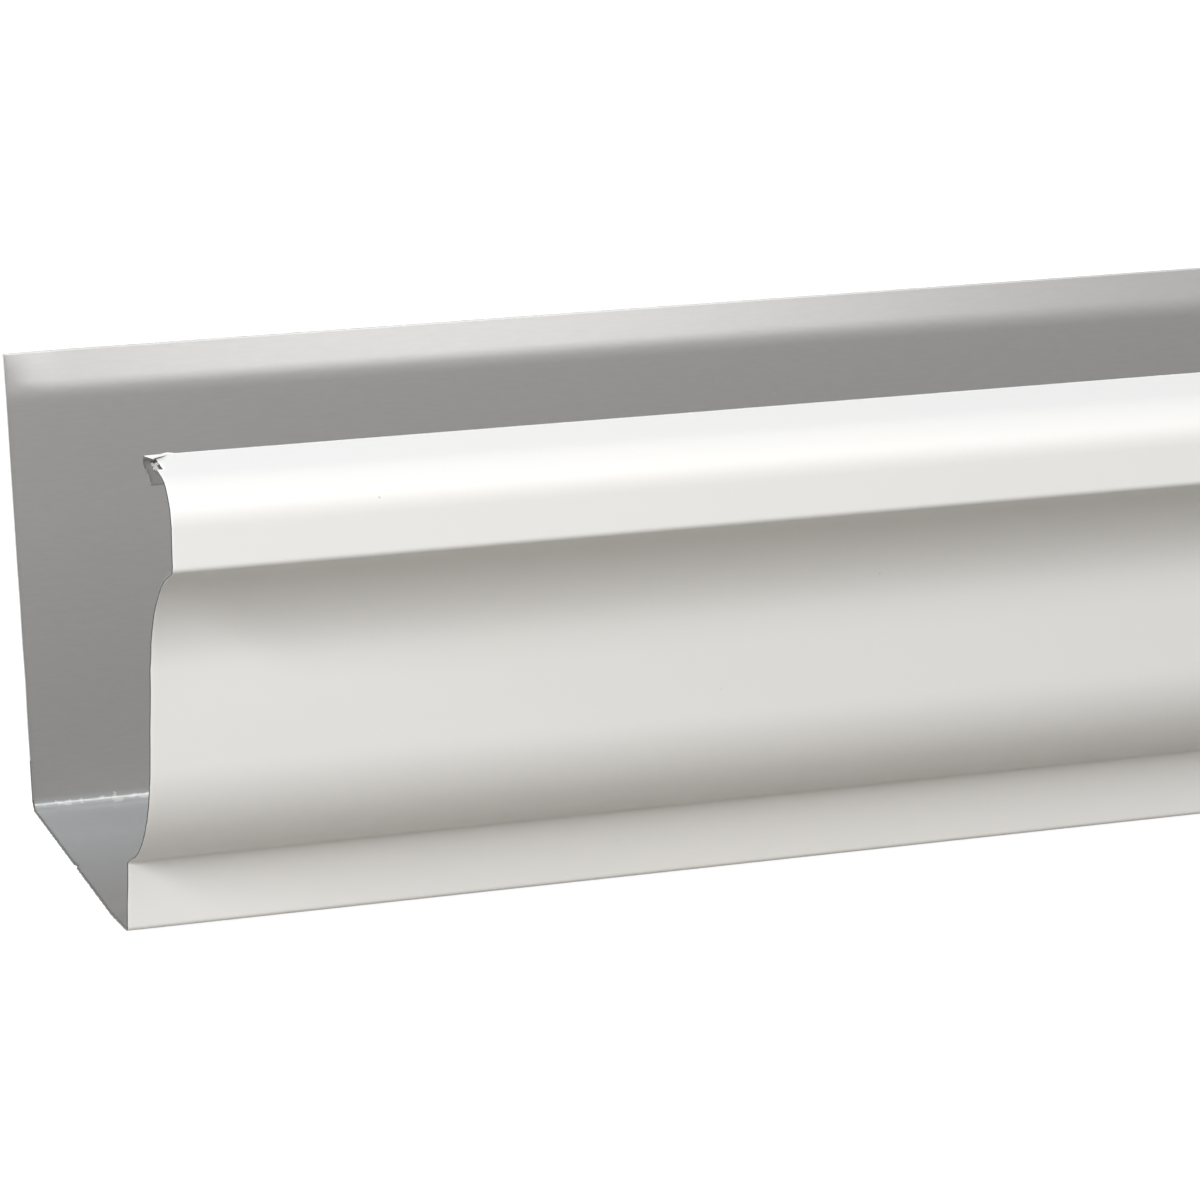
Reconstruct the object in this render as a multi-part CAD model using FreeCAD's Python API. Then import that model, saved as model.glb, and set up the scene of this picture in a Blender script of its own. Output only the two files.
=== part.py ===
import FreeCAD, Part
import math
import os

# Eaves gutter section, K-style (ogee front), roll-formed from one strip of prepainted galvanised steel.
# Lengths are in millimetres, angles in degrees.
# X runs along the gutter, -Y is the moulded front, +Y the back that goes against the fascia, +Z is up.
# The origin is on the underside, in the middle of the length and of the overall depth.

# Stock length and sheet
length = 3048.0
sheet = 0.45

# Bottom and back wall, measured to the sharp corners of the painted outside
bottom_width = 83.3
back_height = 90.1
back_lean = 6.6
back_lip = 7.9
back_lip_lean = 17.8

# The bottom lifts off the ground plane towards the front corner
sole_depth = 13.0
front_rise = 1.0

# Front toe, then the two sloping shelves of the ogee with the riser between them
toe_height = 15.0
toe_lean = 8.6
shelf_rise = 23.5
lower_shelf = 20.0
riser_lean = 8.7

# Top band that overhangs the toe, and the ledge folded back from it
overhang = 45.2
band_foot = 79.4
front_height = 96.4
ledge_depth = 18.2
ledge_rise = 8.4

# Open hem under the free edge of the ledge
hem_flat = 3.6
hem_fall = 33.5

# Inside radius of each bend
lip_radius = 18.0
back_corner_radius = 1.5
sole_radius = 60.0
front_corner_radius = 0.8
toe_radius = 1.0
belly_radius = 26.8
crest_radius = 25.9
band_foot_radius = 0.9
band_top_radius = 7.3
hem_radius = 1.15


def polar(reach, angle):
    """Step of a given length in a direction of the section; 0 points to the back, 90 up."""
    turn = math.radians(angle)
    return FreeCAD.Vector(0, reach * math.cos(turn), reach * math.sin(turn))


def meeting(first, first_angle, second, second_angle):
    """Point where two lines of the section cross, each given by a point and a direction."""
    along = polar(1, first_angle)
    across = polar(1, second_angle + 90)
    return first + along * ((second - first).dot(across) / along.dot(across))


def section_corners():
    """Sharp corners of the painted face from the back lip round to the hem, with their bend radii."""
    front_corner = polar(front_rise / math.cos(math.radians(toe_lean)), 90 + toe_lean)
    sole = FreeCAD.Vector(0, sole_depth, 0)
    back_corner = FreeCAD.Vector(0, bottom_width, 0)
    lip_tip_height = back_height - back_lip * math.cos(math.radians(back_lip_lean))
    lip_foot = back_corner + polar(lip_tip_height / math.cos(math.radians(back_lean)), 90 - back_lean)
    lip_tip = lip_foot + polar(back_lip, 90 - back_lip_lean)

    toe_top = polar(toe_height / math.cos(math.radians(toe_lean)), 90 + toe_lean)
    band_bottom = FreeCAD.Vector(0, -overhang, band_foot)
    shelf_direction = 180 - shelf_rise
    belly = toe_top + polar(lower_shelf, shelf_direction)
    crest = meeting(belly, 90 + riser_lean, band_bottom, shelf_direction)

    # The free edge of the ledge is the nose of the hem, so the ledge is set out from the nose.
    nose_radius = hem_radius + sheet
    nose_centre = FreeCAD.Vector(0, ledge_depth - overhang - nose_radius, front_height - nose_radius)
    nose_start = nose_centre + polar(nose_radius, 90 + ledge_rise)
    band_top = meeting(nose_start, ledge_rise, band_bottom, 90)
    hem_turn = 180 - hem_fall + ledge_rise
    hem_reach = nose_radius * math.tan(math.radians(hem_turn / 2))
    nose = nose_start + polar(hem_reach, ledge_rise)
    hem_end = nose + polar(hem_reach + hem_flat, ledge_rise - hem_turn)

    return [
        (lip_tip, 0),
        (lip_foot, lip_radius),
        (back_corner, back_corner_radius),
        (sole, sole_radius),
        (front_corner, front_corner_radius),
        (toe_top, toe_radius),
        (belly, belly_radius),
        (crest, crest_radius),
        (band_bottom, band_foot_radius),
        (band_top, band_top_radius),
        (nose, hem_radius),
        (hem_end, 0),
    ]


def inward(start, end):
    """Unit step square to a flat of the section, from its painted face into the sheet."""
    run = (end - start).normalize()
    return FreeCAD.Vector(0, run.z, -run.y)


def bend(before, corner, after, inside_radius, depth):
    """Start, middle and end of a bend on the face that lies a given depth under the painted face."""
    side_in = inward(before, corner)
    side_out = inward(corner, after)
    halfway = (side_in + side_out).normalize()
    half_turn = side_in.getAngle(side_out) / 2
    closes_inward = side_out.dot(corner - before) < 0
    radius = inside_radius + sheet - depth if closes_inward else inside_radius + depth
    centre_side = 1 if closes_inward else -1
    face_corner = corner + halfway * (depth / math.cos(half_turn))
    centre = face_corner + halfway * (centre_side * radius / math.cos(half_turn))
    return [centre - step * (centre_side * radius) for step in (side_in, halfway, side_out)]


def face_edges(corners, depth):
    """Flats and tangent bends of one face of the sheet, from the back lip to the hem."""
    first, second = corners[0][0], corners[1][0]
    last_but_one, last = corners[-2][0], corners[-1][0]
    here = first + inward(first, second) * depth
    edges = []
    for (before, _), (corner, inside_radius), (after, _) in zip(corners, corners[1:], corners[2:]):
        start, middle, end = bend(before, corner, after, inside_radius, depth)
        edges.append(Part.LineSegment(here, start).toShape())
        edges.append(Part.Arc(start, middle, end).toShape())
        here = end
    edges.append(Part.LineSegment(here, last + inward(last_but_one, last) * depth).toShape())
    return edges


def section_face():
    """Cross-section of the sheet: the painted face, the coated face and the two slit edges."""
    corners = section_corners()
    painted = face_edges(corners, 0)
    coated = face_edges(corners, sheet)
    lip_edge = Part.LineSegment(painted[0].firstVertex().Point, coated[0].firstVertex().Point)
    hem_edge = Part.LineSegment(painted[-1].lastVertex().Point, coated[-1].lastVertex().Point)
    outline = Part.Wire(Part.__sortEdges__(painted + coated + [lip_edge.toShape(), hem_edge.toShape()]))
    return Part.Face(outline)


def gutter_section():
    """The formed sheet at stock length, centred over the origin."""
    profile = section_face()
    box = profile.optimalBoundingBox()
    profile.translate(FreeCAD.Vector(-length / 2, -(box.YMin + box.YMax) / 2, -box.ZMin))
    return profile.extrude(FreeCAD.Vector(length, 0, 0))


os.makedirs("parts", exist_ok=True)
gutter_section().exportStep("parts/gutter_section.step")
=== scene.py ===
import logging
import math
from dataclasses import dataclass, field
from enum import Enum

import bmesh
import bpy
from bmesh.types import BMesh, BMFace, BMVert
from bpy.types import Material, Node, NodeSocket, NodeTree, Object
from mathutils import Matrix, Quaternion, Vector, noise


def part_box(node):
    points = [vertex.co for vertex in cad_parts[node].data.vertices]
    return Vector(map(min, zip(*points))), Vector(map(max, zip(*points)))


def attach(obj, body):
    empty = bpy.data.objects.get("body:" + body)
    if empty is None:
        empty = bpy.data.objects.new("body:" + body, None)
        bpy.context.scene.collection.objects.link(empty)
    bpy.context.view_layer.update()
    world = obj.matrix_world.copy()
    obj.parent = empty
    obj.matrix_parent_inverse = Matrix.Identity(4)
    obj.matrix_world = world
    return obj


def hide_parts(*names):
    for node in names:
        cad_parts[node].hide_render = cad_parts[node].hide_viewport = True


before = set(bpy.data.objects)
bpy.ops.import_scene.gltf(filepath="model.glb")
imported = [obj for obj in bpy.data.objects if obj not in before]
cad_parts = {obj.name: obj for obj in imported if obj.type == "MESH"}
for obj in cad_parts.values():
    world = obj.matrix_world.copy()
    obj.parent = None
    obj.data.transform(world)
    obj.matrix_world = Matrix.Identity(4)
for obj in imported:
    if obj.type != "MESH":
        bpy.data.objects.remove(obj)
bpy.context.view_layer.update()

MM = 0.001
SHEET_NODE = "gutter_section"
BODY = "root"

log = logging.getLogger("gutter")


class Surface(Enum):
    """What a face of the sheet is, in the order of the mesh's material slots."""

    PAINTED = 0
    COATED = 1
    # Sheared steel; its colour also paints the shade in the torn flap's crease.
    SHEARED_AND_CREASE_SHADE = 2
    # Slit zinc; its pale colour is also a painted highlight along the thin edges.
    SLIT = 3


def linear_colour(code: str) -> tuple[float, float, float, float]:
    """Turns a colour as seen on a screen into the linear one that a shader takes.

    Args:
        code: An sRGB colour as six hex digits after a hash.

    Returns:
        Linear red, green and blue with full alpha.
    """
    parts = [int(code[at : at + 2], 16) / 255 for at in (1, 3, 5)]
    red, green, blue = ((p / 12.92) if p <= 0.04045 else ((p + 0.055) / 1.055) ** 2.4 for p in parts)
    return red, green, blue, 1.0


def smooth_step(value: float, low: float, high: float) -> float:
    """Rises softly from 0 at low to 1 at high.

    Args:
        value: Where to read the step.
        low: End of the zero side.
        high: Start of the one side.

    Returns:
        A share from 0 to 1.
    """
    share = min(1.0, max(0.0, (value - low) / (high - low)))
    return share * share * (3 - 2 * share)


class NodeGraph:
    """A node tree that is being wired up, with a method for each kind of node that recurs."""

    def __init__(self, tree: NodeTree) -> None:
        """Takes over a node tree and clears it."""
        self.tree = tree
        tree.nodes.clear()

    def add(self, kind: str, inputs: dict | None = None, **settings) -> Node:
        """Adds a node with its settings, and sets or links its inputs.

        Args:
            kind: The node's type name.
            inputs: Input name or number, and the value or the output socket that feeds it.
            **settings: Properties of the node itself.

        Returns:
            The new node.
        """
        node = self.tree.nodes.new(kind)
        for name, value in settings.items():
            setattr(node, name, value)
        for name, value in (inputs or {}).items():
            if isinstance(value, NodeSocket):
                self.tree.links.new(value, node.inputs[name])
            else:
                node.inputs[name].default_value = value
        return node

    def calculate(self, operation: str, first: NodeSocket, second: NodeSocket | float) -> NodeSocket:
        """Works out two values' product, difference or the like."""
        return self.add("ShaderNodeMath", {0: first, 1: second}, operation=operation).outputs[0]

    def spread(
        self, value: NodeSocket, start: float, end: float, low: float = 0.0, high: float = 1.0
    ) -> NodeSocket:
        """Spreads a stretch of values over another one, and holds what lies outside it at its ends.

        Args:
            value: The value to read.
            start: The value that gives low.
            end: The value that gives high.
            low: First end of the result.
            high: Other end of the result.

        Returns:
            The result.
        """
        inputs = {"Value": value, "From Min": start, "From Max": end, "To Min": low, "To Max": high}
        return self.add("ShaderNodeMapRange", inputs).outputs["Result"]

    def blend(self, share: NodeSocket, first: NodeSocket | str, second: NodeSocket | str) -> NodeSocket:
        """Blends two colours.

        Args:
            share: How much of the second colour shows.
            first: A colour's socket, or its sRGB code.
            second: The same, for the other colour.

        Returns:
            The blended colour.
        """
        inputs = {"Fac": share}
        for name, colour in (("Color1", first), ("Color2", second)):
            inputs[name] = linear_colour(colour) if isinstance(colour, str) else colour
        return self.add("ShaderNodeMixRGB", inputs).outputs["Color"]

    def grain(self, place: NodeSocket, size: float, detail: float) -> NodeSocket:
        """Adds a cloudy grain of a given size."""
        inputs = {"Vector": place, "Scale": 1 / size, "Detail": detail}
        return self.add("ShaderNodeTexNoise", inputs).outputs["Fac"]

    def lines(self, place: NodeSocket, length: float, spacing: float) -> NodeSocket:
        """Adds a grain drawn out along X, like the lines of a rolled strip.

        Args:
            place: Object coordinates.
            length: Size of the grain along X.
            spacing: Size of the grain across X.

        Returns:
            The grain's value.
        """
        inputs = {"Vector": place, "Scale": (1 / length, 1 / spacing, 1 / spacing)}
        drawn_out = self.add("ShaderNodeMapping", inputs).outputs["Vector"]
        return self.grain(drawn_out, 1.0, 3.0)

    def seen_directly(self) -> NodeSocket:
        """Tells what the camera, a reflection or a view through glass sees from what only lights.

        Returns:
            A socket that is 1 for camera, glossy and transmission rays and 0 for the rest.
        """
        path = self.add("ShaderNodeLightPath").outputs
        mirrored = self.calculate("MAXIMUM", path["Is Glossy Ray"], path["Is Transmission Ray"])
        return self.calculate("MAXIMUM", path["Is Camera Ray"], mirrored)


class MaterialGraph(NodeGraph):
    """The node tree of one material."""

    def __init__(self, name: str) -> None:
        """Makes an empty node material.

        Args:
            name: The material's name.
        """
        self.material = bpy.data.materials.new(name)
        self.material.use_nodes = True
        super().__init__(self.material.node_tree)

    def place(self) -> NodeSocket:
        """Adds the Object coordinates that the patterns are laid out by."""
        return self.add("ShaderNodeTexCoord").outputs["Object"]

    def finish(self, surface: NodeSocket) -> Material:
        """Sends a shader to the material's output."""
        self.add("ShaderNodeOutputMaterial", {"Surface": surface})
        return self.material

    def coat(self, colour: NodeSocket, roughness: NodeSocket | float, **more) -> Material:
        """Finishes the material with the shader that paint and metal share.

        Args:
            colour: The base colour.
            roughness: The roughness, one value for a finish that is even all over.
            **more: Further inputs of the shader.

        Returns:
            The finished material.
        """
        inputs = {"Base Color": colour, "Roughness": roughness, **more}
        return self.finish(self.add("ShaderNodeBsdfPrincipled", inputs).outputs["BSDF"])


@dataclass(frozen=True)
class PolyesterTopcoat:
    """White polyester coil coat on the outside.

    It is rolled on to the strip and stoved, so it is an even semi-gloss white. The eye gets soft broad
    highlights with a trace of orange peel, faint lines along the roll direction and a few specks of dust
    under the film.
    """

    colour: str = "#F1EFEB"
    cool_patch: str = "#EFEEEC"
    speck_colour: str = "#B9B8B2"
    roughness: float = 0.42
    gloss_change: float = 0.04
    patch_size: float = 90 * MM
    speck_spacing: float = 14 * MM
    speck_radius: float = 0.35 * MM
    speck_core: float = 0.5
    clean_share: float = 0.55
    roll_line_spacing: float = 1.6 * MM
    roll_line_length: float = 160 * MM
    peel_size: float = 1.8 * MM
    peel_depth: float = 0.004 * MM

    def specks(self, graph: MaterialGraph, place: NodeSocket) -> NodeSocket:
        """Adds specks of dust, at most one to a cell, each as strong as its cell says.

        Args:
            graph: The material's nodes.
            place: Object coordinates.

        Returns:
            How much a speck shows.
        """
        inputs = {"Vector": place, "Scale": 1 / self.speck_spacing}
        cells = graph.add("ShaderNodeTexVoronoi", inputs).outputs
        reach = self.speck_radius / self.speck_spacing
        speck = graph.spread(cells["Distance"], reach, reach * self.speck_core)
        chance = graph.add("ShaderNodeSeparateColor", {"Color": cells["Color"]}).outputs
        dusty = graph.calculate("GREATER_THAN", chance["Red"], self.clean_share)
        return graph.calculate("MULTIPLY", graph.calculate("MULTIPLY", speck, dusty), chance["Green"])

    def material(self) -> Material:
        """Builds the node material.

        Returns:
            The finished material.
        """
        graph = MaterialGraph("polyester_topcoat")
        place = graph.place()
        tint = graph.blend(graph.grain(place, self.patch_size, 2.0), self.colour, self.cool_patch)
        paint = graph.blend(self.specks(graph, place), tint, self.speck_colour)
        rolled = graph.lines(place, self.roll_line_length, self.roll_line_spacing)
        low, high = self.roughness - self.gloss_change, self.roughness + self.gloss_change
        gloss = graph.spread(rolled, 0.0, 1.0, low, high)
        peel = graph.grain(place, self.peel_size, 1.0)
        relief = graph.add("ShaderNodeBump", {"Height": peel, "Distance": self.peel_depth})
        return graph.coat(paint, gloss, Normal=relief.outputs["Normal"])


@dataclass(frozen=True)
class GreyWashCoat:
    """Grey epoxy wash coat on the inside.

    It is rolled on as a thin film over the zinc, so the lines of the rolled strip show through as faint
    level streaks. The bottom of the channel gets paler, cooler colours, painted light where it faces up,
    and darker ones towards the front corner, painted shade of the front wall. In the sharp bend at the foot
    of the back wall it is worn through to bright zinc, and the pale line there is also a painted highlight
    on the bend.
    """

    bend_line: Vector
    colour: str = "#9F9D9B"
    pale_streak: str = "#A2A09E"
    # Painted light: paler, cooler colours of the bottom, where it faces up to the lamps.
    bottom: str = "#B0B2B2"
    bottom_streak: str = "#B3B5B5"
    # Painted shade of the front wall: darker colour of the bottom towards the front corner.
    front_shade: str = "#979593"
    # Pale zinc along the back corner's bend: worn through, and also a painted highlight on the bend.
    worn_zinc_and_highlight: str = "#CCCCCA"
    roughness: float = 0.27
    metallic: float = 0.28
    streak_spacing: float = 0.55 * MM
    streak_length: float = 3 * MM
    streak_range: tuple[float, float] = (0.3, 0.7)
    bottom_depth: float = 1.5 * MM
    front_shade_reach: tuple[float, float] = (20 * MM, 60 * MM)
    worn_and_highlight_width: float = 0.12 * MM
    scuff_size: float = 1.7 * MM
    scuff_range: tuple[float, float] = (0.53, 0.7)
    scuff_reach: float = 1.5 * MM
    scuff_blur: float = 0.12 * MM

    def film(self, graph: MaterialGraph, place: NodeSocket) -> NodeSocket:
        """Adds the film's colour, streaked, with painted light on the bottom and painted shade towards the
        front.

        Args:
            graph: The material's nodes.
            place: Object coordinates.

        Returns:
            The film's colour.
        """
        lines = graph.lines(place, self.streak_length, self.streak_spacing)
        streaks = graph.spread(lines, *self.streak_range)
        wall = graph.blend(streaks, self.colour, self.pale_streak)
        bottom = graph.blend(streaks, self.bottom, self.bottom_streak)
        axes = graph.add("ShaderNodeSeparateXYZ", {"Vector": place}).outputs
        # Painted light: the bottom of the channel gets the paler, cooler colours.
        low = graph.spread(axes["Z"], self.bend_line.z + self.bottom_depth, self.bend_line.z)
        # Painted shade: the bottom darkens towards the front wall.
        near, far = self.front_shade_reach
        front = graph.spread(axes["Y"], self.bend_line.y - near, self.bend_line.y - far)
        return graph.blend(low, wall, graph.blend(front, bottom, self.front_shade))

    def scuffs_and_highlight(self, graph: MaterialGraph, place: NodeSocket) -> NodeSocket:
        """Adds worn zinc and a painted highlight: a thin line along the bend, with ragged marks reaching
        out.

        Args:
            graph: The material's nodes.
            place: Object coordinates.

        Returns:
            How much of the zinc and the painted highlight shows.
        """
        line = self.bend_line
        inputs = {"Vector": place, "Location": (0, -line.y, -line.z), "Scale": (0, 1, 1)}
        across = graph.add("ShaderNodeMapping", inputs).outputs["Vector"]
        distance = graph.add("ShaderNodeVectorMath", {0: across}, operation="LENGTH").outputs["Value"]
        marks = graph.grain(place, self.scuff_size, 4.0)
        reach = graph.spread(marks, *self.scuff_range, self.worn_and_highlight_width, self.scuff_reach)
        over = graph.calculate("SUBTRACT", reach, distance)
        return graph.spread(over, -self.scuff_blur, self.scuff_blur)

    def material(self) -> Material:
        """Builds the node material.

        Returns:
            The finished material.
        """
        graph = MaterialGraph("grey_wash_coat")
        place = graph.place()
        # The pale line along the bend is worn zinc and a painted highlight.
        colour = graph.blend(self.scuffs_and_highlight(graph, place), self.film(graph, place), self.worn_zinc_and_highlight)
        return graph.coat(colour, self.roughness, Metallic=self.metallic)


@dataclass(frozen=True)
class EdgeMetal:
    """Bare metal of a cut edge, plain but for a fine grain."""

    name: str
    colour: str
    grain_colour: str
    roughness: float
    grain: float
    metallic: float = 1.0

    def material(self) -> Material:
        """Builds the node material.

        Returns:
            The finished material.
        """
        graph = MaterialGraph(self.name)
        metal = graph.blend(graph.grain(graph.place(), self.grain, 3.0), self.colour, self.grain_colour)
        return graph.coat(metal, self.roughness, Metallic=self.metallic)


# Sheared low-carbon steel. The shear breaks it to a dull dark grey, so the cut ends have a dark outline.
# Its colour also paints the shade in the crease of the torn flap, as dark flecks.
SHEARED_STEEL_AND_CREASE_SHADE = EdgeMetal("sheared_steel_and_crease_shade", "#3C3C3A", "#5E5E5B", 0.5, 0.35 * MM)

# Hot-dip zinc. It is soft, so the slitter wipes it over the strip's long edges and the shear wipes it over
# the back wall's cut. It is pale and only half metallic, so these edges show as thin light lines even in
# shade: a painted highlight as well as zinc.
SLIT_ZINC_AND_HIGHLIGHT = EdgeMetal("slit_zinc_and_highlight", "#A4A4A1", "#B4B4B1", 0.35, 0.8 * MM, 0.5)


@dataclass(frozen=True)
class PaleFloor:
    """Seamless pale studio floor.

    It is matt, and what the camera and the object's gloss see of it is lifted to white where the light is
    open, so only the object's soft shadow is left on it.
    """

    colour: str = "#8A8680"
    lift: float = 0.95

    def material(self) -> Material:
        """Builds the node material.

        Returns:
            The finished material.
        """
        graph = MaterialGraph("pale_floor")
        matt = graph.add("ShaderNodeBsdfDiffuse", {"Color": linear_colour(self.colour)})
        strength = graph.calculate("MULTIPLY", graph.seen_directly(), self.lift)
        glow = graph.add("ShaderNodeEmission", {"Strength": strength})
        both = graph.add("ShaderNodeAddShader", {0: matt.outputs["BSDF"], 1: glow.outputs["Emission"]})
        return graph.finish(both.outputs["Shader"])


@dataclass(frozen=True)
class Corner:
    """A sharp corner of the painted face, the inside radius of its bend, and the row spacing after it."""

    point: Vector
    inside_radius: float
    row_pitch: float


@dataclass(frozen=True)
class Bend:
    """One bend of the painted face, from its start about its centre by a signed turn."""

    start: Vector
    centre: Vector
    radius: float
    turn: float


@dataclass(frozen=True)
class Section:
    """The formed cross-section, set out from the sharp corners of its painted face.

    Places are in the plane of the section: Y is the distance behind the front bottom corner, Z the height.
    Angles are in degrees.
    """

    sheet: float = 0.45 * MM
    bottom_width: float = 83.3 * MM
    back_height: float = 90.1 * MM
    back_lean: float = 6.6
    back_lip: float = 7.9 * MM
    back_lip_lean: float = 17.8
    sole_depth: float = 13.0 * MM
    front_rise: float = 1.0 * MM
    toe_height: float = 15.0 * MM
    toe_lean: float = 8.6
    shelf_rise: float = 23.5
    lower_shelf: float = 20.0 * MM
    riser_lean: float = 8.7
    overhang: float = 45.2 * MM
    band_foot: float = 79.4 * MM
    front_height: float = 96.4 * MM
    ledge_depth: float = 18.2 * MM
    ledge_rise: float = 8.4
    hem_flat: float = 3.6 * MM
    hem_fall: float = 33.5
    lip_radius: float = 18.0 * MM
    back_corner_radius: float = 1.5 * MM
    sole_radius: float = 60.0 * MM
    front_corner_radius: float = 0.8 * MM
    toe_radius: float = 1.0 * MM
    belly_radius: float = 26.8 * MM
    crest_radius: float = 25.9 * MM
    band_foot_radius: float = 0.9 * MM
    band_top_radius: float = 7.3 * MM
    hem_radius: float = 1.15 * MM
    wide_pitch: float = 8.0 * MM
    bottom_pitch: float = 0.8 * MM
    close_pitch: float = 4.0 * MM
    fine_pitch: float = 1.0 * MM

    @staticmethod
    def polar(reach: float, angle: float) -> Vector:
        """Step of a given length in a direction of the section; 0 points to the back, 90 up."""
        turn = math.radians(angle)
        return Vector((0, reach * math.cos(turn), reach * math.sin(turn)))

    def leaning(self, height: float, lean: float) -> Vector:
        """Step up to a height along a line that leans to the front by an angle."""
        return self.polar(height / math.cos(math.radians(lean)), 90 + lean)

    def meeting(self, first: Vector, first_angle: float, second: Vector, second_angle: float) -> Vector:
        """Finds where two lines of the section cross.

        Args:
            first: A point of the first line.
            first_angle: Direction of the first line in degrees.
            second: A point of the second line.
            second_angle: Direction of the second line in degrees.

        Returns:
            The crossing point.
        """
        along = self.polar(1, first_angle)
        across = self.polar(1, second_angle + 90)
        return first + along * ((second - first).dot(across) / along.dot(across))

    def corners(self) -> list[Corner]:
        """Sets out the sharp corners from the back lip round to the end of the hem.

        Returns:
            The corners in order; the first and the last are the free edges of the sheet.
        """
        front_corner = self.leaning(self.front_rise, self.toe_lean)
        sole = Vector((0, self.sole_depth, 0))
        back_corner = Vector((0, self.bottom_width, 0))
        lip_foot_height = self.back_height - self.back_lip * math.cos(math.radians(self.back_lip_lean))
        lip_foot = back_corner + self.leaning(lip_foot_height, -self.back_lean)
        lip_tip = lip_foot + self.polar(self.back_lip, 90 - self.back_lip_lean)

        toe_top = self.leaning(self.toe_height, self.toe_lean)
        band_bottom = Vector((0, -self.overhang, self.band_foot))
        shelf_direction = 180 - self.shelf_rise
        belly = toe_top + self.polar(self.lower_shelf, shelf_direction)
        crest = self.meeting(belly, 90 + self.riser_lean, band_bottom, shelf_direction)

        # The free edge of the ledge is the nose of the hem, so the ledge is set out from the nose.
        nose_radius = self.hem_radius + self.sheet
        nose_back = self.ledge_depth - self.overhang - nose_radius
        nose_centre = Vector((0, nose_back, self.front_height - nose_radius))
        nose_start = nose_centre + self.polar(nose_radius, 90 + self.ledge_rise)
        band_top = self.meeting(nose_start, self.ledge_rise, band_bottom, 90)
        hem_turn = 180 - self.hem_fall + self.ledge_rise
        hem_reach = nose_radius * math.tan(math.radians(hem_turn / 2))
        nose = nose_start + self.polar(hem_reach, self.ledge_rise)
        hem_end = nose + self.polar(hem_reach + self.hem_flat, self.ledge_rise - hem_turn)

        return [
            Corner(lip_tip, 0, self.close_pitch),
            Corner(lip_foot, self.lip_radius, self.wide_pitch),
            Corner(back_corner, self.back_corner_radius, self.bottom_pitch),
            Corner(sole, self.sole_radius, self.bottom_pitch),
            Corner(front_corner, self.front_corner_radius, self.close_pitch),
            Corner(toe_top, self.toe_radius, self.fine_pitch),
            Corner(belly, self.belly_radius, self.close_pitch),
            Corner(crest, self.crest_radius, self.close_pitch),
            Corner(band_bottom, self.band_foot_radius, self.close_pitch),
            Corner(band_top, self.band_top_radius, self.fine_pitch),
            Corner(nose, self.hem_radius, self.fine_pitch),
            Corner(hem_end, 0, 0),
        ]

    def bend(self, before: Vector, corner: Corner, after: Vector) -> Bend:
        """Works out the bend at a corner.

        Args:
            before: The corner before it.
            corner: The corner that is bent.
            after: The corner after it.

        Returns:
            The bend of the painted face, which is the outer face where the sheet turns towards the channel.
        """
        run_in = (corner.point - before).normalized()
        run_out = (after - corner.point).normalized()
        turn = math.atan2(run_in.y * run_out.z - run_in.z * run_out.y, run_in.dot(run_out))
        inward = Vector((0, run_in.z, -run_in.y))
        radius = corner.inside_radius + self.sheet if turn < 0 else corner.inside_radius
        start = corner.point - run_in * (radius * math.tan(abs(turn) / 2))
        centre = start + inward * math.copysign(radius, -turn)
        return Bend(start, centre, radius, turn)


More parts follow.
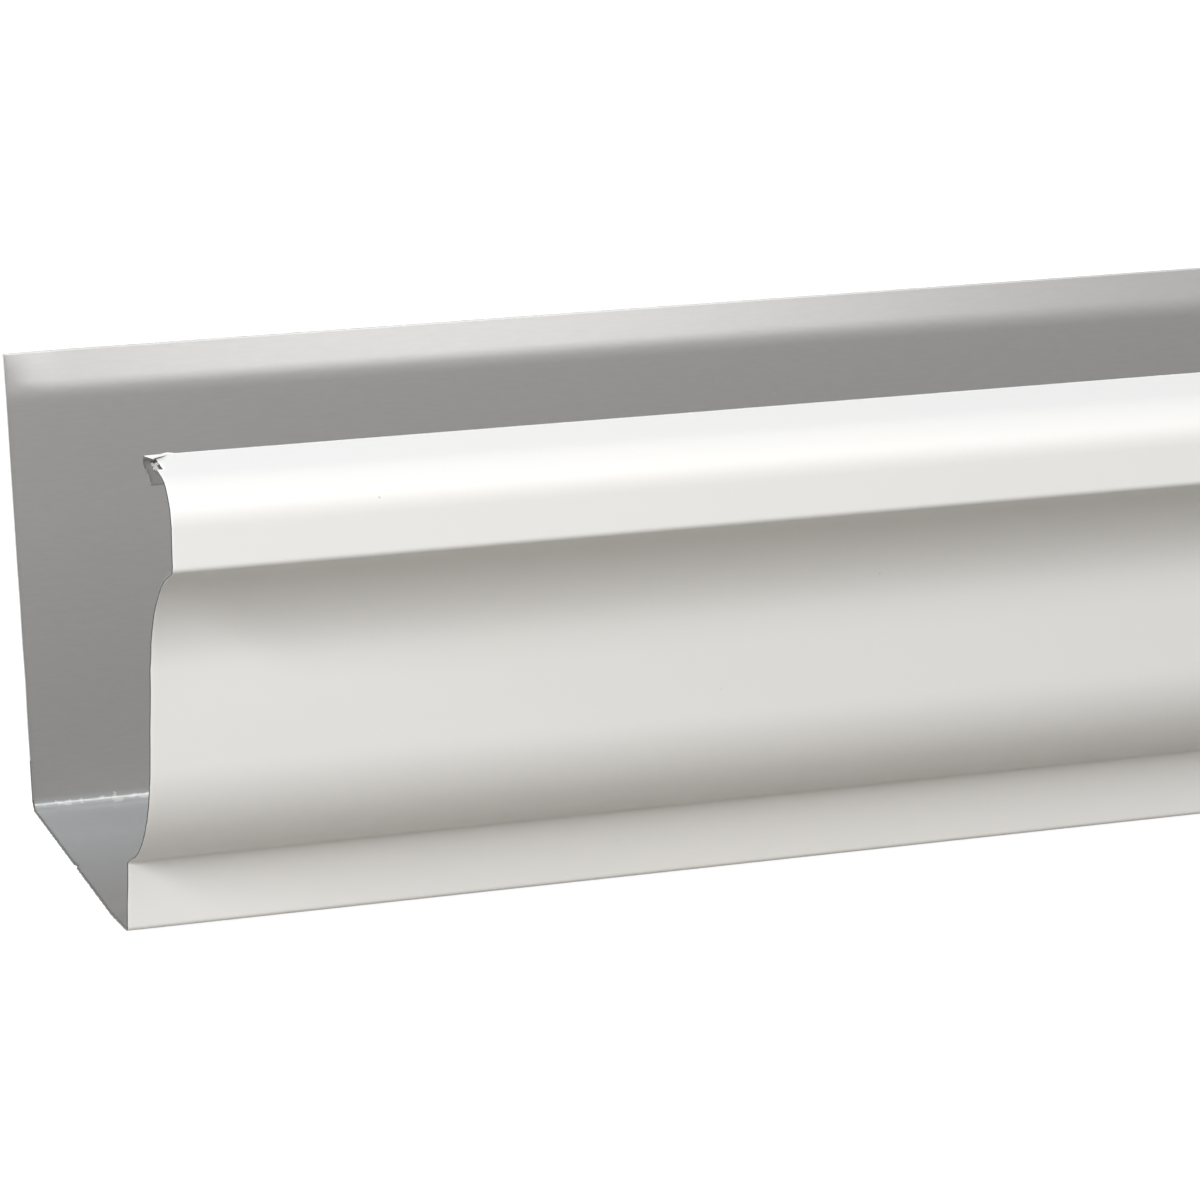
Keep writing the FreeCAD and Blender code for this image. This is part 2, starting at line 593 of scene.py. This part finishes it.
@dataclass(frozen=True)
class ShearedEnd:
    """How the shear left an end of the sheet: set back, ragged, rolled over and nicked on the bottom.

    At both ends the lip is curled to the front. At the -X end the nose of the hem and the lip are also
    drawn out to the full length. Places are measured as in Section.
    """

    set_back: float = 0.4 * MM
    reach: float = 4.0 * MM
    raggedness: float = 0.1 * MM
    bottom_raggedness: float = 0.16 * MM
    ragged_size: float = 1.1 * MM
    bottom_height: float = 2.0 * MM
    nick_place: float = 44.0 * MM
    nick_depth: float = 0.8 * MM
    nick_width: float = 1.0 * MM
    roll: float = 0.06 * MM
    roll_reach: float = 0.45 * MM
    lip_curl: float = 0.7 * MM
    lip_reach: float = 12.0 * MM
    back_start: float = 75.0 * MM
    lip_foot: float = 82.0 * MM
    lip_tip: float = 90.0 * MM
    tongue_front: float = -31.6 * MM
    tongue_back: float = -29.4 * MM
    tongue_foot: float = 92.5 * MM
    tongue_top: float = 95.5 * MM

    def depth(self, spot: Vector, seed: float) -> float:
        """Tells how far the cut lies inside the full length.

        Args:
            spot: A place in the section.
            seed: Shifts the raggedness, so that the two ends differ.

        Returns:
            The depth in metres.
        """
        rag = noise.noise(Vector((seed, spot.y, spot.z)) / self.ragged_size)
        if spot.z > self.bottom_height:
            return self.set_back + self.raggedness * rag
        nick = max(0.0, 1 - abs(spot.y - self.nick_place) / self.nick_width)
        return self.set_back + self.bottom_raggedness * rag + self.nick_depth * nick

    def on_back(self, spot: Vector) -> bool:
        """Tells whether a place is on the back wall, whose cut gets the pale slit colour: zinc and a
        painted highlight.
        """
        return spot.y > self.back_start and spot.z > self.bottom_height

    def drawn_out(self, spot: Vector) -> float:
        """Tells how far the sheet was drawn out again towards the full length.

        Args:
            spot: A place in the section.

        Returns:
            A share, which is 1 on the nose of the hem and at the lip's tip.
        """
        if spot.y > 0:
            return smooth_step(spot.z, 0, self.lip_tip)
        back = smooth_step(spot.y, self.tongue_front, self.tongue_back)
        return back * smooth_step(spot.z, self.tongue_foot, self.tongue_top)

    def shape(self, vert: BMVert, spot: Vector, distance: float, side: int) -> None:
        """Moves a vertex near the cut.

        Args:
            vert: The vertex.
            spot: Its place in the section.
            distance: Its distance from the end.
            side: 1 at the +X end and -1 at the -X end.
        """
        fade = max(0.0, 1 - distance / self.reach)
        left = 1 - self.drawn_out(spot) if side < 0 else 1
        vert.co.x -= side * self.depth(spot, side) * left * fade
        vert.co -= vert.normal * self.roll * max(0.0, 1 - distance / self.roll_reach) ** 2
        if spot.y > 0:
            near = max(0.0, 1 - distance / self.lip_reach)
            vert.co.y -= self.lip_curl * near * near * smooth_step(spot.z, self.lip_foot, self.lip_tip)


@dataclass(frozen=True)
class TornLedge:
    """The tear in the ledge at the -X end, where the shear caught the hem.

    A slit parts a tongue, with the hem under it, from the rest of the ledge. The hem bulges backwards
    behind the slit, and a flap before the slit is pressed down and has lost its paint, so the grey coat
    shows.
    Dark flecks in the sheared colour, thickest along the crease behind the flap, are painted shade of the
    crease. The shade thresholds set how much of each part gets the flecks, from -1 for all of it to 1 for
    none.
    """

    ledge_height: float = 95.0 * MM
    hem_foot: float = 88.0 * MM
    hem_depth: float = 0.9 * MM
    slit_place: float = -29.2 * MM
    slit_slant: float = 2.0 * MM
    slit_length: float = 3.9 * MM
    slit_drop: float = 0.26 * MM
    pushed_width: float = 4.0 * MM
    slit_rise: float = 0.06 * MM
    tongue_cut: float = 0.5 * MM
    dent_width: float = 3.0 * MM
    bulge: float = 0.9 * MM
    bulge_place: float = 4.2 * MM
    bulge_length: float = 0.9 * MM
    flap_front: float = -35.3 * MM
    flap_back: float = -30.6 * MM
    flap_length: float = 1.5 * MM
    flap_drop: float = 0.9 * MM
    crease: float = 1.2 * MM
    crease_size: float = 0.9 * MM
    # Thresholds of the painted crease shade, on the crease and on the rest of the flap.
    crease_shade_threshold: float = -0.1
    flap_shade_threshold: float = 0.15
    slit_margin: float = 0.34 * MM

    def on_ledge(self, spot: Vector) -> bool:
        """Tells whether a place in the section is on the ledge, not under it."""
        return spot.z > self.ledge_height and spot.y < 0

    def split(self, bm: BMesh, sheet: "GutterSheet") -> None:
        """Lays the nearest row of vertices along the slant of the slit, and opens the skin there.

        Args:
            bm: The painted skin.
            sheet: The sheet that the skin belongs to.
        """
        near = [
            vert for vert in bm.verts
            if sheet.distance(vert, -1) < self.slit_length and self.on_ledge(sheet.spot(vert))
        ]
        misses = {vert: abs(sheet.spot(vert).y - self.slit_place) for vert in near}
        least = min(misses.values())
        row = {vert for vert, miss in misses.items() if miss - least < self.slit_margin}
        start = max(sheet.spot(vert).y for vert in row)
        for vert in near:
            ahead = start - sheet.spot(vert).y
            if ahead >= 0:
                shift = self.slit_place - self.slit_line(sheet.distance(vert, -1))
                vert.co.y -= shift * max(0.0, 1 - ahead / self.pushed_width)
        slit = [edge for edge in bm.edges if all(vert in row for vert in edge.verts)]
        bmesh.ops.split_edges(bm, edges=slit)

    def slit_line(self, distance: float) -> float:
        """Gives the slit's place in the section at a distance from the -X end."""
        return self.slit_place - self.slit_slant * max(0.0, 1 - distance / self.slit_length)

    def shape(self, vert: BMVert, spot: Vector, distance: float) -> None:
        """Moves a vertex of the ledge or the hem after the slit is open.

        Args:
            vert: The vertex.
            spot: Its place in the section.
            distance: Its distance from the -X end.
        """
        if spot.y > 0 or spot.z < self.hem_foot:
            return
        faces = vert.link_faces
        middle = sum((face.calc_center_median().y for face in faces), 0.0) / len(faces)
        line = self.slit_line(distance)
        on_slit = vert.is_boundary and abs(spot.y - line) < self.slit_margin
        behind = middle > vert.co.y if on_slit else spot.y > line
        share = max(0.0, 1 - distance / self.slit_length)
        if behind:
            along = (distance - self.bulge_place) / self.bulge_length
            back = smooth_step(spot.y, line, line + self.hem_depth)
            vert.co.y += self.bulge * math.exp(-along * along) * back
            if self.on_ledge(spot):
                vert.co.z += self.slit_rise * share * (1 - back)
                vert.co.x += self.tongue_cut * share * (1 - back)
        elif self.on_ledge(spot):
            near = smooth_step(spot.y, line - self.dent_width, line - self.slit_margin)
            vert.co.z -= self.slit_drop * near * math.sqrt(share)
            if spot.y > self.flap_front:
                front = (self.flap_back - spot.y) / (self.flap_back - self.flap_front)
                vert.co.z -= self.flap_drop * max(0.0, front) * max(0.0, 1 - distance / self.flap_length)

    def on_tongue(self, spot: Vector) -> bool:
        """Tells whether a place in the section is on the tongue behind the slit."""
        return self.on_ledge(spot) and spot.y > self.slit_line(0)

    def surface(self, spot: Vector, distance: float) -> Surface | None:
        """Tells what a face of the flap has become: grey coat, or a dark fleck of painted crease shade.

        Args:
            spot: The place of the face in the section.
            distance: Its distance from the -X end.

        Returns:
            The new surface, or None for a face outside the flap.
        """
        on_flap = self.flap_front < spot.y < self.flap_back and distance < self.flap_length
        if not (on_flap and self.on_ledge(spot)):
            return None
        # Dark flecks in the sheared colour are painted shade, thickest along the crease; the rest of the
        # flap shows the grey coat where its paint is lost.
        shade_threshold = self.crease_shade_threshold if distance > self.crease else self.flap_shade_threshold
        in_crease_shade = noise.noise((spot + Vector((distance, 0, 0))) / self.crease_size) > shade_threshold
        return Surface.SHEARED_AND_CREASE_SHADE if in_crease_shade else Surface.COATED


@dataclass
class GutterSheet:
    """The gutter: one strip of sheet, formed along its whole length and sheared across at both ends."""

    section: Section = field(default_factory=Section)
    sheared: ShearedEnd = field(default_factory=ShearedEnd)
    torn: TornLedge = field(default_factory=TornLedge)
    margin: float = 0.35 * MM
    arc_step: float = math.radians(9)
    arc_chord: float = 1.6 * MM
    end_runs: tuple[tuple[float, int], ...] = (
        (0.18 * MM, 1),
        (0.17 * MM, 1),
        (0.5 * MM, 12),
        (1.0 * MM, 4),
        (2.0 * MM, 7),
        (8.0 * MM, 3),
    )
    middle_pitch: float = 50 * MM
    end_facing: float = 0.5
    edge_round: float = 0.12 * MM
    sharp_angle: float = 32.0
    # Where the pale line of worn zinc and painted highlight lies on the back corner's bend.
    worn_and_highlight_angle: float = 38.0

    def __post_init__(self) -> None:
        """Reads the length and the place of the section from the frame."""
        self.low, self.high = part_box(SHEET_NODE)
        self.offset = Vector((0, self.low.y + self.section.overhang, self.low.z))

    def spot(self, vert: BMVert) -> Vector:
        """Gives a vertex's place in the plane of the section."""
        return Vector((0, vert.co.y - self.offset.y, vert.co.z - self.offset.z))

    def distance(self, vert: BMVert, side: int) -> float:
        """Gives a vertex's distance from the +X end (side 1) or the -X end (side -1)."""
        return self.high.x - vert.co.x if side > 0 else vert.co.x - self.low.x

    def face_spot(self, face: BMFace) -> tuple[Vector, float]:
        """Gives the place of a face's middle in the section, and its distance from the -X end."""
        middle = face.calc_center_median()
        return Vector((0, middle.y - self.offset.y, middle.z - self.offset.z)), middle.x - self.low.x

    def draw_flat(self, bm: BMesh, here: BMVert, end: Vector, pitch: float) -> BMVert:
        """Draws a flat as a row of edges, with a short one at each end where the bend's shading stops.

        Args:
            bm: The mesh being drawn.
            here: The vertex that the flat starts at.
            end: Where the flat ends.
            pitch: The longest edge.

        Returns:
            The last vertex.
        """
        start = here.co.copy()
        length = (end - start).length
        margin = min(self.margin, length / 4)
        count = max(1, math.ceil((length - 2 * margin) / pitch))
        stops = [margin + (length - 2 * margin) * step / count for step in range(count + 1)] + [length]
        for stop in stops:
            here = bmesh.ops.extrude_vert_indiv(bm, verts=[here])["verts"][0]
            bmesh.ops.translate(bm, verts=[here], vec=start.lerp(end, stop / length) - here.co)
        return here

    def draw_bend(self, bm: BMesh, here: BMVert, bend: Bend) -> BMVert:
        """Draws a bend by spinning its first vertex.

        Args:
            bm: The mesh being drawn.
            here: The vertex that the bend starts at.
            bend: The bend, in the place of the drawing.

        Returns:
            The last vertex.
        """
        step = min(self.arc_step, self.arc_chord / bend.radius)
        made = bmesh.ops.spin(
            bm,
            geom=[here],
            cent=bend.centre + Vector((here.co.x, 0, 0)),
            axis=(1, 0, 0),
            dvec=(0, 0, 0),
            angle=bend.turn,
            steps=math.ceil(abs(bend.turn) / step),
            use_merge=False,
        )
        return made["geom_last"][0]

    def draw_section(self, bm: BMesh) -> None:
        """Draws the painted face of the section as one chain of edges at the +X end.

        Args:
            bm: The empty mesh that gets the chain.
        """
        corners = self.section.corners()
        here = bm.verts.new(corners[0].point)
        for before, corner, after in zip(corners, corners[1:], corners[2:]):
            bend = self.section.bend(before.point, corner, after.point)
            here = self.draw_flat(bm, here, bend.start, before.row_pitch)
            here = self.draw_bend(bm, here, bend)
        self.draw_flat(bm, here, corners[-1].point, corners[-2].row_pitch)
        bmesh.ops.translate(bm, verts=bm.verts[:], vec=self.offset + Vector((self.high.x, 0, 0)))

    def sweep(self, bm: BMesh) -> None:
        """Sweeps the chain from the +X end to the -X end, with close columns near the two cuts.

        Args:
            bm: The mesh with the chain.
        """
        rest = self.high.x - self.low.x - 2 * sum(pitch * steps for pitch, steps in self.end_runs)
        middle = math.ceil(rest / self.middle_pitch)
        chain = bm.verts[:] + bm.edges[:]
        for pitch, steps in (*self.end_runs, (rest / middle, middle), *self.end_runs[::-1]):
            made = bmesh.ops.spin(
                bm,
                geom=chain,
                cent=(0, 0, 0),
                axis=(1, 0, 0),
                dvec=(-pitch, 0, 0),
                angle=0,
                steps=steps,
                use_merge=False,
            )
            chain = made["geom_last"]

    def damage(self, bm: BMesh) -> None:
        """Tears the ledge and shears both ends of the painted skin, before it gets its thickness.

        Args:
            bm: The painted skin.
        """
        self.torn.split(bm, self)
        bm.normal_update()
        moves = []
        for side in (-1, 1):
            for vert in bm.verts:
                distance = self.distance(vert, side)
                if distance < self.sheared.lip_reach:
                    moves.append((vert, self.spot(vert), distance, side))
        for vert, spot, distance, side in moves:
            if side < 0:
                self.torn.shape(vert, spot, distance)
            self.sheared.shape(vert, spot, distance, side)

    def build(self) -> Object:
        """Makes the painted skin of the sheet.

        Returns:
            The sheet's object at the origin, one skin thick.
        """
        bm = bmesh.new()
        self.draw_section(bm)
        self.sweep(bm)
        self.damage(bm)
        bm.normal_update()
        mesh = bpy.data.meshes.new("gutter_sheet")
        bm.to_mesh(mesh)
        bm.free()
        sheet = bpy.data.objects.new("gutter_sheet", mesh)
        bpy.context.scene.collection.objects.link(sheet)
        return sheet

    def thicken(self, sheet: Object) -> None:
        """Gives the painted skin its steel and its inner face.

        Args:
            sheet: The sheet's object, whose mesh is one skin.
        """
        wall = sheet.modifiers.new("thickness", "SOLIDIFY")
        wall.thickness = self.section.sheet
        wall.offset = -1
        wall.use_even_offset = True
        wall.material_offset = Surface.COATED.value
        wall.material_offset_rim = Surface.SHEARED_AND_CREASE_SHADE.value
        shaped = bpy.data.meshes.new_from_object(sheet.evaluated_get(bpy.context.evaluated_depsgraph_get()))
        sheet.modifiers.clear()
        sheet.data = shaped
        shaped.name = "gutter_sheet"

    def sort_faces(self, bm: BMesh) -> set[BMFace]:
        """Tells slit edges from sheared ends, and sets the colours beside the cuts and on the torn flap.

        Faces beside the cut ends get the dark sheared colour, which widens the cut's dark outline. Coated
        faces beside the lip's slit edge get the pale slit colour, zinc and a painted highlight. The torn
        flap gets the grey coat and dark flecks of painted crease shade.

        Args:
            bm: The sheet, with its thickness.

        Returns:
            The faces of the slit edges.
        """
        slit_faces, dark_beside_cut, wiped_and_highlight = set(), set(), set()
        for rim in [face for face in bm.faces if face.material_index == Surface.SHEARED_AND_CREASE_SHADE.value]:
            spot, start = self.face_spot(rim)
            beside = {face for edge in rim.edges for face in edge.link_faces}
            if abs(rim.normal.x) > self.end_facing:
                if self.torn.on_tongue(spot):
                    continue
                # The back wall's cut gets the pale slit colour: zinc smeared over it, and a painted
                # highlight.
                if self.sheared.on_back(spot):
                    rim.material_index = Surface.SLIT.value
                elif spot.z < self.sheared.bottom_height:
                    dark_beside_cut.update(beside)
                else:
                    dark_beside_cut.update(face for face in beside if face.material_index == Surface.PAINTED.value)
            elif not (self.torn.on_ledge(spot) and start < self.torn.slit_length):
                rim.material_index = Surface.SLIT.value
                slit_faces.add(rim)
                if self.sheared.on_back(spot):
                    wiped_and_highlight.update(beside)
        # Faces beside the cut ends get the dark sheared colour, a band that widens the cut's dark outline.
        for face in dark_beside_cut:
            face.material_index = Surface.SHEARED_AND_CREASE_SHADE.value
        # Coated faces beside the lip's slit edge get the pale slit colour: zinc and a painted highlight
        # along the lip's top.
        for face in wiped_and_highlight:
            if face.material_index == Surface.COATED.value:
                face.material_index = Surface.SLIT.value
        # The torn flap's faces get the grey coat or dark flecks of painted crease shade.
        for face in bm.faces:
            if face.material_index != Surface.COATED.value and face not in slit_faces:
                flap = self.torn.surface(*self.face_spot(face))
                if flap:
                    face.material_index = flap.value
        return slit_faces

    def round_edges(self, bm: BMesh, slit_faces: set[BMFace]) -> None:
        """Rounds the long edges that the slitter left, but not where they meet the cut ends.

        Args:
            bm: The sheet, with its thickness.
            slit_faces: The faces of the slit edges.
        """
        edges = [
            edge for edge in bm.edges
            if len(edge.link_faces) == 2
            and sum(face in slit_faces for face in edge.link_faces) == 1
            and all(face in slit_faces or abs(face.normal.x) < self.end_facing for face in edge.link_faces)
        ]
        bmesh.ops.bevel(
            bm,
            geom=edges,
            offset=self.edge_round,
            offset_type="OFFSET",
            affect="EDGES",
            segments=2,
            profile=0.5,
            material=Surface.SLIT.value,
            clamp_overlap=True,
        )

    def finish_edges(self, sheet: Object) -> None:
        """Sorts the faces along the cuts, rounds the slit edges and sets the shading.

        Args:
            sheet: The sheet's object, with its thickness.
        """
        bm = bmesh.new()
        bm.from_mesh(sheet.data)
        bm.normal_update()
        self.round_edges(bm, self.sort_faces(bm))
        bm.to_mesh(sheet.data)
        bm.free()
        sheet.data.shade_smooth()
        sheet.data.set_sharp_from_angle(angle=math.radians(self.sharp_angle))

    def worn_and_highlight_line(self) -> Vector:
        """Places the pale line on the back corner's inner bend: worn-through zinc and a painted highlight.

        Returns:
            A point of the line, which runs along X.
        """
        before, corner, after = self.section.corners()[1:4]
        bend = self.section.bend(before.point, corner, after.point)
        return bend.centre + self.section.polar(corner.inside_radius, -self.worn_and_highlight_angle) + self.offset

    def dress(self, sheet: Object) -> None:
        """Gives the sheet its four finishes, in the order of Surface."""
        for finish in (PolyesterTopcoat(), GreyWashCoat(self.worn_and_highlight_line()), SHEARED_STEEL_AND_CREASE_SHADE, SLIT_ZINC_AND_HIGHLIGHT):
            sheet.data.materials.append(finish.material())

    def make(self) -> Object:
        """Builds, dresses, thickens and finishes the sheet, and puts it in the place of its CAD solid.

        Returns:
            The finished object.
        """
        sheet = self.build()
        self.dress(sheet)
        self.thicken(sheet)
        self.finish_edges(sheet)
        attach(sheet, BODY)
        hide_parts(SHEET_NODE)
        return sheet


@dataclass(frozen=True)
class Softbox:
    """A soft lamp of the studio. A level of 1 is as bright as a white card in full light."""

    name: str
    place: Vector
    aim: Vector
    size: tuple[float, float]
    level: float
    colour: str

    def light(self) -> Object:
        """Hangs the lamp.

        Returns:
            The lamp's object.
        """
        data = bpy.data.lights.new(self.name, "AREA")
        data.shape = "RECTANGLE"
        data.size, data.size_y = self.size
        data.color = linear_colour(self.colour)[:3]
        data.energy = self.level * math.pi * data.size * data.size_y
        lamp = bpy.data.objects.new(self.name, data)
        lamp.location = self.place
        lamp.rotation_mode = "QUATERNION"
        lamp.rotation_quaternion = (self.aim - self.place).to_track_quat("-Z", "Y")
        lamp.visible_camera = False
        bpy.context.scene.collection.objects.link(lamp)
        return lamp


@dataclass(frozen=True)
class Studio:
    """Floor, world and lamps.

    A row of softboxes hangs in front of the gutter, brightest beyond the end that the photograph looks at.
    A box stands off each end and a lower one behind each end, and a high and a low one behind the gutter.
    """

    floor_size: float = 60.0
    floor_gap: float = 0.1 * MM
    row_reach: float = 2.5
    row_elevation: float = 37.0
    row_size: tuple[float, float] = (0.7, 1.53)
    row_places: tuple[float, ...] = (-3.6, -0.72, 1.0, 2.3)
    row_levels: tuple[float, ...] = (30.0, 5.5, 2.0, 9.0)
    end_place: Vector = Vector((4.2, -0.2, 1.0))
    end_aim: float = 1.5
    end_size: tuple[float, float] = (1.6, 1.0)
    end_levels: tuple[float, float] = (16.5, 12.0)
    corner_place: Vector = Vector((3.4, 1.9, 0.5))
    corner_size: tuple[float, float] = (1.6, 0.6)
    corner_levels: tuple[float, float] = (10.0, 10.0)
    back_size: tuple[float, float] = (7.0, 1.2)
    back_place: Vector = Vector((0, 1.9, 1.8))
    back_level: float = 0.5
    low_back_size: tuple[float, float] = (7.0, 0.5)
    low_back_place: Vector = Vector((0, 2.6, 0.38))
    low_back_level: float = 4.0
    plain_white: str = "#FFFFFF"
    cool_white: str = "#F5FAFF"

    def floor(self) -> Object:
        """Lays the floor just under the object.

        Returns:
            The floor's object.
        """
        bm = bmesh.new()
        bmesh.ops.create_grid(bm, x_segments=1, y_segments=1, size=self.floor_size / 2)
        bmesh.ops.translate(bm, verts=bm.verts[:], vec=(0, 0, -self.floor_gap))
        mesh = bpy.data.meshes.new("studio_floor")
        bm.to_mesh(mesh)
        bm.free()
        mesh.materials.append(PaleFloor().material())
        floor = bpy.data.objects.new("studio_floor", mesh)
        bpy.context.scene.collection.objects.link(floor)
        return floor

    def room(self) -> None:
        """Sets the world, which is pale where it is seen and gives no light of its own."""
        world = bpy.data.worlds.new("studio_room")
        bpy.context.scene.world = world
        world.use_nodes = True
        graph = NodeGraph(world.node_tree)
        light = graph.add("ShaderNodeBackground", {"Strength": graph.seen_directly()})
        graph.add("ShaderNodeOutputWorld", {"Surface": light.outputs["Background"]})

    def lamps(self) -> list[Object]:
        """Hangs the softboxes.

        Returns:
            The lamps' objects.
        """
        lift = math.radians(self.row_elevation)
        out, up = -math.cos(lift) * self.row_reach, math.sin(lift) * self.row_reach
        boxes = []
        for number, (x, level) in enumerate(zip(self.row_places, self.row_levels), 1):
            place, aim = Vector((x, out, up)), Vector((x, 0, 0))
            boxes.append(
                Softbox(f"front_softbox_{number}", place, aim, self.row_size, level, self.plain_white)
            )
        for kind, spot, size, levels in (
            ("end", self.end_place, self.end_size, self.end_levels),
            ("corner", self.corner_place, self.corner_size, self.corner_levels),
        ):
            for number, (side, level) in enumerate(zip((-1, 1), levels), 1):
                place = Vector((side * spot.x, spot.y, spot.z))
                aim = Vector((side * self.end_aim, 0, 0))
                boxes.append(Softbox(f"{kind}_softbox_{number}", place, aim, size, level, self.cool_white))
        for name, place, size, level in (
            ("back_softbox", self.back_place, self.back_size, self.back_level),
            ("low_back_softbox", self.low_back_place, self.low_back_size, self.low_back_level),
        ):
            boxes.append(Softbox(name, place, Vector((0, 0, 0)), size, level, self.cool_white))
        return [box.light() for box in boxes]

    def make(self) -> None:
        """Sets up the whole studio."""
        self.floor()
        self.room()
        self.lamps()
        bpy.context.scene.view_settings.view_transform = "Standard"


@dataclass(frozen=True)
class PhotoCamera:
    """The camera at the photograph's standpoint, worked out from the vanishing points of the long edges."""

    standpoint: Vector = Vector((-1702.877, -845.165, 282.063)) * MM
    azimuth: float = 18.2648
    elevation: float = -14.6994
    roll: float = -0.4
    lens: float = 144.436
    sensor: float = 36.0
    clip: tuple[float, float] = (0.05, 100.0)

    def make(self) -> Object:
        """Sets up the camera and makes it the scene's.

        Returns:
            The camera's object.
        """
        turn, lift = math.radians(self.azimuth), math.radians(self.elevation)
        forward = Vector((math.sin(turn) * math.cos(lift), math.cos(turn) * math.cos(lift), math.sin(lift)))
        data = bpy.data.cameras.new("photo_camera")
        data.lens = self.lens
        data.sensor_width = self.sensor
        data.clip_start, data.clip_end = self.clip
        camera = bpy.data.objects.new("photo_camera", data)
        camera.location = self.standpoint
        camera.rotation_mode = "QUATERNION"
        roll = Quaternion((0, 0, 1), math.radians(self.roll))
        camera.rotation_quaternion = forward.to_track_quat("-Z", "Y") @ roll
        bpy.context.scene.collection.objects.link(camera)
        bpy.context.scene.camera = camera
        return camera


def main() -> None:
    """Builds the gutter, the studio and the camera."""
    logging.basicConfig(level=logging.INFO, format="%(message)s")
    sheet = GutterSheet().make()
    log.info("%s: %d faces", sheet.name, len(sheet.data.polygons))
    Studio().make()
    log.info("studio ready")
    PhotoCamera().make()
    log.info("camera ready")


if __name__ == "__main__":
    main()
